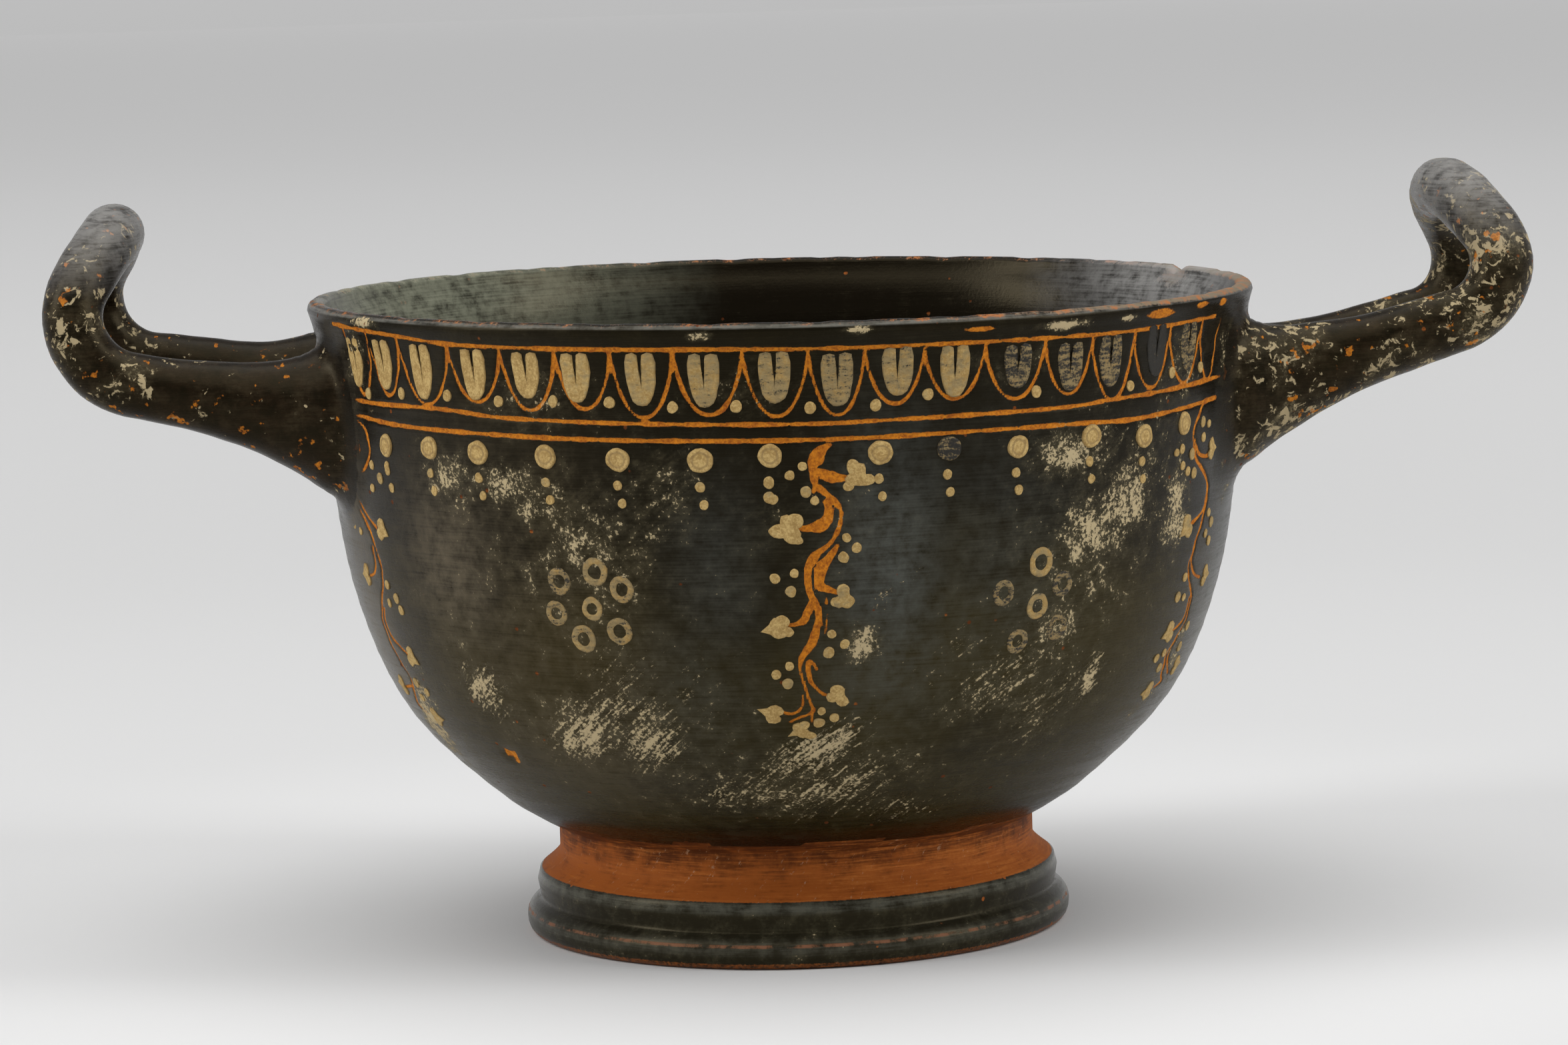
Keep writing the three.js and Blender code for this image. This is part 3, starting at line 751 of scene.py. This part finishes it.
pale_nick = stripped * fade(wiped * 0.6 + grain * 0.4, 0.58, 0.63)
clay = mixed(pale_nick * 0.7, clay, PALE_NICK)
clay = mixed(groove_line, clay, FOOT_LINE)
colour = mixed(exposed, colour, clay)
colour = mixed(scratched * lime * 0.5, colour, THICK_LIME)
# Painted sheen: inside the right rim and on the handle tops the film colour is a pale sheen; on the inner
# left it is a green film.
film_and_sheen_cover = attribute(here, "film_and_sheen") * fade(cloudy * 0.6 + brushed * 0.4, 0.30, 0.60)
painted_sheen_part = most(on_handle, fade(sideways, 20.0, 40.0))
colour = mixed(film_and_sheen_cover * 0.9, colour, mixed(painted_sheen_part, GREEN_FILM, PALE_SHEEN))
rough = 0.21 + 0.12 * brushed + 0.14 * dusty + 0.38 * most(exposed, lime) + 0.08 * sheen
rough = rough - 0.07 * inside_here - 0.06 * fade(up, 10.5, 8.5)
relief = brushed * 0.14 + grain * 0.25 + lime * 0.55 + cloudy * 0.15 - exposed * 0.25
bump = here.make("ShaderNodeBump", None, {"Strength": 0.4, "Distance": RELIEF_DEPTH, "Height": relief})
finish_surface(here, {"Base Color": colour, "Roughness": rough, "Normal": bump,
                      "Specular IOR Level": 0.13, "Specular Tint": WARM_GLOSS})
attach(cup, "root")
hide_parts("cup")

# The cream ornament is thick slip, dabbed on over the black with a loaded brush, so each touch stands a
# little proud and has a rounded edge. Pairs of strokes fill the eggs, and the vines have leaves and berries.
# Burial has rubbed some of it to a grey stain. A touch is an angle, a height, its half width and half
# height in millimetres, a slant in degrees, how far it is rubbed away and its thickness.
TONGUES = [
    (-64.4, 91.9, 85.2, 0.15), (-57.2, 91.9, 85.3, 0.2), (-49.4, 91.7, 84.4, 0.25), (-40.6, 91.3, 84.7, 0.2),
    (-33, 91.1, 85.2, 0.1), (-26.4, 91, 84.8, 0.3), (-18.4, 91, 84.3, 0.4), (-11, 90.8, 84, 0.45),
    (-2.9, 90.8, 84.3, 0.5), (4.3, 90.4, 83.6, 0.55), (11.3, 90.8, 84.7, 0.5), (18.2, 90.6, 84.1, 0.45),
    (26.3, 90.2, 84.7, 0.68), (33.7, 89.9, 83.7, 0.66), (40, 90.3, 83.6, 0.66), (48.3, 91, 84.3, 0.88),
    (55.5, 90.7, 84.4, 0.66),
]
PENDANTS = [(-58.3, 77), (-49.2, 77.3), (-40.9, 77.1), (-31.1, 76.9), (-21.7, 76.6), (-11.8, 76.4),
            (-3.7, 76.9), (9.1, 76.8), (17.4, 76.8), (26.3, 76.3), (37, 76.8), (46.2, 75.8), (54.9, 76.6)]
BETWEEN_EGGS = [(-69.4, 84.7), (-61.8, 84.2), (-53.9, 84.7), (-45.3, 84.9), (-37.2, 84.4), (-29.6, 84.6),
                (-22.4, 84.5), (-14.8, 83.8), (-7.4, 83.8), (1.1, 83.3), (8.7, 83.3), (14.9, 84.4),
                (28.8, 83.7), (43.5, 83.2), (51.8, 84.2), (58.9, 84.2)]
TONGUE_HALF_WIDTH, RAGGED_EDGE, SEED, RING_HOLE = 2.25, 0.00055, 4.0, 0.5
THIN, THICK, DOT_THICK, BACK_THICK, LEAF_THICK, RING_THICK = 0.15, 0.3, 0.16, 0.25, 0.18, 0.1
strokes_on, dots_on, leaves_on = [], [], []
for turn, head, foot, rub in TONGUES:
    half = (head - foot) / 2
    rub += 0.12 * (rub > 0.25)
    strokes_on.append((turn, foot - 0.1 + 0.65 * half, TONGUE_HALF_WIDTH, half + 0.3, 0, rub, THIN))
for number, (turn, level) in enumerate(BETWEEN_EGGS):
    dots_on.append((turn, level, 0.8, 0.85, 0, 0.15 + 0.1 * (number % 3), DOT_THICK))
for number, (turn, level) in enumerate(PENDANTS):
    lost = 0.85 if turn == 17.4 else 0.1 + 0.06 * (number % 3)
    dots_on.append((turn, level, 1.65 + 0.1 * (number % 3), 1.7, 0, lost, THICK))
    dots_on.append((turn - 0.2, level - 3.6, 0.68, 0.75, 0, 0.2 + 0.2 * (number % 2), THIN))
    dots_on.append((turn + 0.2, level - 6.1, 0.66, 0.7, 0, 0.4 - 0.2 * (number % 2), THIN))
for number, turn in enumerate(np.arange(120, 246, 10.5)):
    dots_on.append((turn, 76.6 + 0.3 * math.sin(turn), 1.7, 1.7, 0, 0.3 + 0.15 * (number % 4), BACK_THICK))
LOBES = [
    (6, 74.8, 1, 1.4, 25), (7.1, 73, 1.7, 0.85, 5), (5.3, 72.3, 0.8, 0.7, 0), (-1, 67.7, 1.2, 1.2, 0),
    (-2.8, 66.4, 1.6, 1, 0), (-1.3, 65.3, 1.4, 0.8, -15), (4.5, 57.9, 0.9, 0.8, 0), (3.5, 56.2, 0.6, 0.7, 0),
    (4.9, 56.2, 1.2, 1, 0), (-3, 53.6, 1.1, 1, 0), (-2.4, 52.2, 1, 0.7, -10), (3.8, 43.3, 1, 0.9, 0),
    (-0.5, 38.4, 0.8, 0.7, 0), (0, 36.9, 1.3, 0.6, -20),
]
for turn, level, wide, tall, slant in LOBES:
    dots_on.append((turn, level, wide, tall, slant, 0.3, THIN))
LEAVES = [
    (6.4, 73.7, 1.9, 2.1, -120, 0.25), (-1.9, 66.5, 2.2, 2.4, 115, 0.2), (4.5, 56.8, 1.8, 1.9, -110, 0.5),
    (-3.7, 52.7, 1.7, 2.4, 100, 0.15), (4.0, 42.3, 1.8, 1.8, -30, 0.3), (-4.7, 40.2, 1.6, 2.3, 70, 0.15),
    (-1.2, 37.5, 1.5, 1.9, 120, 0.45), (-69.6, 73.8, 1.8, 2.2, 90, 0.25), (-62.4, 64.4, 1.8, 2.3, -110, 0.2),
    (-70.7, 57, 1.8, 2.1, 90, 0.3), (-63, 45.5, 1.9, 2.2, -120, 0.3), (-72.5, 40.2, 1.8, 2.0, 80, 0.4),
    (-64.4, 36.2, 1.8, 2.2, -100, 0.4), (63.5, 72, 1.7, 2.0, -90, 0.3), (57.6, 61.3, 2.0, 2.6, 120, 0.5),
    (67.1, 53.1, 1.8, 2.0, -90, 0.35), (58.6, 45.8, 1.9, 2.3, 110, 0.4), (67.1, 39.8, 1.7, 2.0, -80, 0.45),
    (59.2, 37, 1.7, 2.1, 100, 0.4),
]
for turn, level, wide, tall, slant, rub in LEAVES:
    leaves_on.append((turn, level, wide, tall, slant, rub, LEAF_THICK))
BERRIES = [
    (0, 75.3), (-1.5, 74.1), (0.3, 71.8), (1.3, 70.5), (-3.9, 73), (-4, 71.1), (5, 65.2), (6.2, 63.7),
    (4.6, 62.4), (-1.3, 60.4), (-3.6, 59.8), (-1.8, 57.9), (3.1, 51.6), (4.7, 50.1), (2.7, 49),
    (-2.2, 47.2), (-3.9, 46), (-2.5, 44.6), (1.8, 40.4), (3.5, 39.3), (1.5, 38.6), (-58.6, 74.1),
    (-62.6, 73.8), (-60.8, 72.1), (-63.3, 70.4), (-69.8, 66.7), (-71.8, 64.4), (-69.6, 63.5), (-63.8, 56.3),
    (-61.9, 54.4), (-64.5, 53.5), (-61.4, 52.8), (-65.3, 41.4), (-65.8, 39.1), (-62.9, 40.3), (60, 76.3),
    (61.9, 75.8), (60.4, 74), (57.4, 71.9), (53.4, 72.6), (56.5, 69.6), (58.3, 69.1), (64.1, 59.6),
    (65.8, 58.3), (65.9, 61), (64.4, 62.6), (59.3, 53.8), (58.4, 51), (60.4, 50.8), (65.2, 45.9),
    (64.8, 42.9), (59.3, 42.8), (57.3, 42.2), (59.6, 40.4),
]
for number, (turn, level) in enumerate(BERRIES):
    big = 0.62 + 0.09 * (number % 3)
    dots_on.append((turn, level, big, big * 1.05, 0, (0.2, 0.35, 0.5)[number % 3], THIN))
ROSETTE_RINGS = [
    (-25.8, 60.8, 1.9, 0.62), (-30.8, 59.3, 1.8, 0.7), (-22.5, 58.4, 1.8, 0.62), (-26.7, 55.5, 1.6, 0.56),
    (-31.8, 54.7, 1.7, 0.66), (-28.5, 51.1, 1.9, 0.62), (-23.4, 52.4, 1.9, 0.66), (30.2, 59.7, 2.0, 0.55),
    (33.7, 56.2, 1.7, 0.76), (25.1, 55.8, 1.7, 0.74), (30.2, 53.4, 1.8, 0.58), (33.8, 50, 1.8, 0.76),
    (27.9, 48.6, 1.7, 0.72),
]
rings_on = [(turn, level, big, big * 1.1, 0, rub, RING_THICK) for turn, level, big, rub in ROSETTE_RINGS]
ROUND = [(math.cos(a), math.sin(a)) for a in np.arange(26) * math.tau / 26]
HALF_TONGUE = [(0, 0.08), (0.09, 0.7), (0.15, 1.3), (0.45, 1.37), (0.85, 1.32), (0.99, 1.0), (0.98, 0.6),
               (0.93, 0.25), (0.85, 0), (0.74, -0.25), (0.56, -0.47), (0.3, -0.61)]
TONGUE = HALF_TONGUE + [(0, -0.65)] + [(-x, y) for x, y in HALF_TONGUE[:0:-1]]
HALF_LEAF = [(0, 0.95), (0.19, 0.66), (0.4, 0.36), (0.72, 0.22), (0.98, 0), (0.9, -0.38), (0.58, -0.62),
             (0.24, -0.6)]
IVY_LEAF = HALF_LEAF + [(0, -0.42)] + [(-x, y) for x, y in HALF_LEAF[:0:-1]]


def touch_mesh(name, edge, hole=0.0):
    """A touch of slip of unit size within the edge: a low dome, or a ring round a hole, closed below."""
    around = len(edge)
    if hole:
        section = [(1, -1), (1, 0), (0.96, 0.6), (0.88, 1), (0.76, 0.92), (hole + 0.1, 0.85),
                   (hole + 0.03, 0.5), (hole, 0), (hole, -1)]
    else:
        section = [(1, -1), (1, 0), (0.97, 0.55), (0.9, 0.9), (0.78, 1.0), (0.6, 0.82), (0.42, 0.92),
                   (0.2, 0.85)]
    corners = [(x * share, y * share, lift) for share, lift in section for x, y in edge]
    rows = len(section)
    faces = []
    for row in range(rows if hole else rows - 1):
        ahead = (row + 1) % rows
        for k in range(around):
            j = (k + 1) % around
            faces.append((row * around + k, row * around + j, ahead * around + j, ahead * around + k))
    if not hole:
        corners += [(0, 0, 0.82), (0, 0, -1)]
        top, under = len(corners) - 2, len(corners) - 1
        for k in range(around):
            j = (k + 1) % around
            faces.append(((rows - 1) * around + k, (rows - 1) * around + j, top))
            faces.append((j, k, under))
    mesh = bpy.data.meshes.new(name)
    mesh.from_pydata(corners, [], faces)
    reach = [share for share, _ in section for _ in edge] + ([] if hole else [0.0, 0.0])
    for label, values in (("to_edge", reach), ("lift", [lift for _, _, lift in corners])):
        layer = mesh.attributes.new(label, "FLOAT", "POINT")
        layer.data.foreach_set("value", np.array(values, np.float32))
    face_outwards(mesh)
    return mesh


def slip_tree():
    sockets = {"Touch": "NodeSocketObject", "Ragged edge": "NodeSocketFloat", "Seed": "NodeSocketFloat",
               "Slip": "NodeSocketMaterial"}
    tree, given, names = new_tree("touches of slip", sockets)
    here = Socket(tree)
    touch = here.make("GeometryNodeObjectInfo", None, {"Object": given["Touch"]}, 4)
    turned = here.make("GeometryNodeInputNamedAttribute", {"data_type": "FLOAT_VECTOR"}, {"Name": "facing"})
    size = here.make("GeometryNodeInputNamedAttribute", {"data_type": "FLOAT_VECTOR"}, {"Name": "size"})
    touches = here.make("GeometryNodeInstanceOnPoints", None,
                        {"Points": given["Geometry"], "Instance": touch, "Rotation": turned, "Scale": size})
    touches = here.make("GeometryNodeRealizeInstances", None, {"Geometry": touches})
    place = here.make("GeometryNodeInputPosition")
    shifted = here.make("ShaderNodeVectorMath", {"operation": "ADD"}, {0: place, 1: given["Seed"]})
    wander = here.make("ShaderNodeTexNoise", None, {"Vector": shifted, "Scale": 620.0, "Detail": 3.0}, 1)
    wander = here.make("ShaderNodeVectorMath", {"operation": "SUBTRACT"}, {0: wander, 1: (0.5, 0.5, 0.5)})
    ragged = {0: wander, "Scale": given["Ragged edge"]}
    wander = here.make("ShaderNodeVectorMath", {"operation": "SCALE"}, ragged)
    touches = here.make("GeometryNodeSetPosition", None, {"Geometry": touches, "Offset": wander})
    painted = {"Geometry": touches, "Material": given["Slip"]}
    close_tree(tree, here.make("GeometryNodeSetMaterial", None, painted))
    return tree, names


slip = bpy.data.materials.new("cream_slip")
touch_tree, touch_names = slip_tree()


def brush_on(name, touches, shape):
    """Places one touch of slip at each spot of the wall, turned to face outwards."""
    spots, facing, size, rub = [], [], [], []
    for turn, level, wide, tall, slant, worn, thick in touches:
        upward = Vector(on_wall(turn, level + 0.5) - on_wall(turn, level - 0.5)).normalized()
        across = Vector((math.cos(math.radians(turn)), math.sin(math.radians(turn)), 0))
        basis = Matrix((across, upward, across.cross(upward))).transposed()
        basis = basis @ Matrix.Rotation(math.radians(slant), 3, "Z")
        spots.append(on_wall(turn, level) * MM)
        facing.append(tuple(basis.to_euler()))
        size.append((wide * MM, tall * MM, thick * MM))
        rub.append(worn)
    mesh = bpy.data.meshes.new(name)
    mesh.from_pydata(spots, [], [])
    for label, values in (("facing", facing), ("size", size)):
        layer = mesh.attributes.new(label, "FLOAT_VECTOR", "POINT")
        layer.data.foreach_set("vector", np.array(values, np.float32).ravel())
    layer = mesh.attributes.new("rub", "FLOAT", "POINT")
    layer.data.foreach_set("value", np.array(rub, np.float32))
    piece = link_mesh(name, mesh)
    touch = link_mesh("touch", shape)
    brush = piece.modifiers.new("brush", "NODES")
    brush.node_group = touch_tree
    brush[touch_names["Touch"]] = touch
    brush[touch_names["Ragged edge"]] = RAGGED_EDGE
    brush[touch_names["Seed"]] = SEED
    brush[touch_names["Slip"]] = slip
    painted = plain_mesh(piece)
    piece.modifiers.remove(brush)
    piece.data = painted
    bpy.data.objects.remove(touch)
    lift, size = np.zeros(len(painted.vertices)), np.zeros(len(painted.vertices) * 3)
    painted.attributes["lift"].data.foreach_get("value", lift)
    painted.attributes["size"].data.foreach_get("vector", size)
    for vertex, share, thick in zip(painted.vertices, lift, size[2::3]):
        turn = math.degrees(math.atan2(vertex.co.x, -vertex.co.y))
        vertex.co = on_wall(turn, vertex.co.z / MM, share * thick / MM) * MM
    painted.shade_smooth()
    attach(piece, "root")


brush_on("slip_tongues", strokes_on, touch_mesh("tongue", TONGUE))
brush_on("slip_dots", dots_on, touch_mesh("dot", ROUND))
brush_on("slip_leaves", leaves_on, touch_mesh("ivy leaf", IVY_LEAF))
brush_on("slip_rings", rings_on, touch_mesh("rosette ring", ROUND, RING_HOLE))

CREAM = (0.33, 0.205, 0.062, 1)
PALE_CREAM = (0.57, 0.40, 0.155, 1)
STAIN = (0.135, 0.112, 0.064, 1)
EDGE_STAIN = (0.22, 0.14, 0.055, 1)
GLAZE_BELOW = (0.010, 0.0078, 0.0035, 1)
here, place = surface(slip)
sideways, forward, up = parts(place)
arc = here.math("ARCTAN2", sideways, forward * -1.0) * MIDDLE_RADIUS
grain = speckle(place, 3.2, 6.0, 0.68)
cloudy = speckle(place, 0.8, 6.0, 0.62)
brushing = here.make("ShaderNodeCombineXYZ", None, {"X": arc * 0.45, "Y": up * 1.5, "Z": 0.0})
streaky = speckle(brushing, 1.0, 8.0, 0.72)
colour = mixed(fade(grain * 0.55 + cloudy * 0.45, 0.38, 0.64), CREAM, PALE_CREAM)
to_edge = attribute(here, "to_edge")
swirl = band(to_edge + (cloudy - 0.5) * 0.3, 0.62, 0.14, 0.03) * 0.6
thickness = parts(here.make("ShaderNodeAttribute", {"attribute_name": "size"}, None, 1))[2] / MM
swirl = swirl * fade(thickness, 0.2, 0.26)
rim_line = fade(to_edge + (grain - 0.5) * 0.3, 0.88, 1.02)
colour = mixed(most(swirl, rim_line * 0.55), colour, EDGE_STAIN)
rub = attribute(here, "rub")
worn = fade(rub + (cloudy - 0.5) * 1.2 + (streaky - 0.5) * 0.9, 0.38, 0.74)
colour = mixed(worn * 0.62, colour, STAIN)
gone = fade(rub + (streaky - 0.5) * 1.2 + (grain - 0.5) * 0.9, 0.68, 0.86)
colour = mixed(gone, colour, GLAZE_BELOW)
relief = grain * 0.6 + cloudy * 0.4
bump = here.make("ShaderNodeBump", None, {"Strength": 0.5, "Distance": RELIEF_DEPTH, "Height": relief})
finish_surface(here, {"Base Color": colour, "Roughness": 0.8 - gone * 0.35, "Normal": bump,
                      "Specular IOR Level": 0.35})

# A plain pale floor under soft studio light, seen from where the cup was looked at.
# The paper is painted lighter near the cup, a painted pool of light, and greys with distance; far off it has
# a painted glow, and it sweeps up far behind, so that no edge of it shows.
NEAR_PAPER_PAINTED_LIGHT, FAR_PAPER = (0.68, 0.68, 0.68, 1), (0.58, 0.58, 0.58, 1)
NO_GLOW, FAR_GLOW = (0, 0, 0, 1), (0.305, 0.305, 0.306, 1)
STUDIO_GREY, STUDIO_STRENGTH = (0.765, 0.76, 0.755, 1), 0.34
SWEEP = [(0, 0), (3000, 0), (8000, 0), (8600, 60), (9100, 240), (9500, 560), (9800, 1000),
         (10000, 1600), (10050, 2400)]
paper = bpy.data.materials.new("pale_paper")
ground = turn_on_wheel("floor", SWEEP, wheel_tree, wheel_names, paper)
here, place = surface(paper)
far = here.make("ShaderNodeVectorMath", {"operation": "LENGTH"}, {0: place}, 1)
distance = here.math("LOGARITHM", far, 10.0)
# Painted light: the paper is lighter near the cup and glows far off.
colour = mixed(fade(distance, 2.0, 2.32), NEAR_PAPER_PAINTED_LIGHT, FAR_PAPER)
glow = mixed(fade(distance, 2.62, 3.4), NO_GLOW, FAR_GLOW)
finish_surface(here, {"Base Color": colour, "Roughness": 0.9, "Emission Color": glow,
                      "Emission Strength": 1.0})


def softbox(name, place, aim, wide, tall, power):
    lamp = bpy.data.lights.new(name, "AREA")
    lamp.shape, lamp.size, lamp.size_y, lamp.energy = "RECTANGLE", wide, tall, power
    box = bpy.data.objects.new(name, lamp)
    bpy.context.scene.collection.objects.link(box)
    box.location = place
    box.rotation_euler = (Vector(aim) - Vector(place)).to_track_quat("-Z", "Y").to_euler()


softbox("overhead", (0.0, -0.15, 1.3), (0, 0, 0.05), 2.2, 1.8, 22)
softbox("left", (-1.7, -0.42, 1.05), (0, 0, 0.06), 0.55, 1.1, 15)
softbox("right", (1.65, -0.55, 1.05), (0, 0, 0.06), 0.55, 1.1, 13)
world = bpy.data.worlds.new("studio")
world.use_nodes = True
world.node_tree.nodes["Background"].inputs["Color"].default_value = STUDIO_GREY
world.node_tree.nodes["Background"].inputs["Strength"].default_value = STUDIO_STRENGTH
bpy.context.scene.world = world
bpy.context.scene.view_settings.view_transform = "Standard"

# The camera stands a little to the left of the front and above the lip, and looks slightly down.
STAND_BACK, EYE_HEIGHT, STAND_ASIDE = 0.7841, 0.14935, math.radians(2)
SENSOR_WIDTH, FOCAL_LENGTH, NEAREST, FARTHEST = 36.0, 121.29, 0.05, 60.0
SWING, PITCH, ROLL = math.radians(1.97), 0.1135, -0.0308
eye = bpy.data.cameras.new("eye")
eye.sensor_width, eye.lens = SENSOR_WIDTH, FOCAL_LENGTH
eye.clip_start, eye.clip_end = NEAREST, FARTHEST
camera = bpy.data.objects.new("eye", eye)
bpy.context.scene.collection.objects.link(camera)
stand = Vector((-STAND_BACK * math.sin(STAND_ASIDE), -STAND_BACK * math.cos(STAND_ASIDE), EYE_HEIGHT))
level = Euler((math.pi / 2 - PITCH, 0, -SWING)).to_matrix().to_4x4()
camera.matrix_world = Matrix.Translation(stand) @ level @ Matrix.Rotation(ROLL, 4, "Z")
bpy.context.scene.camera = camera
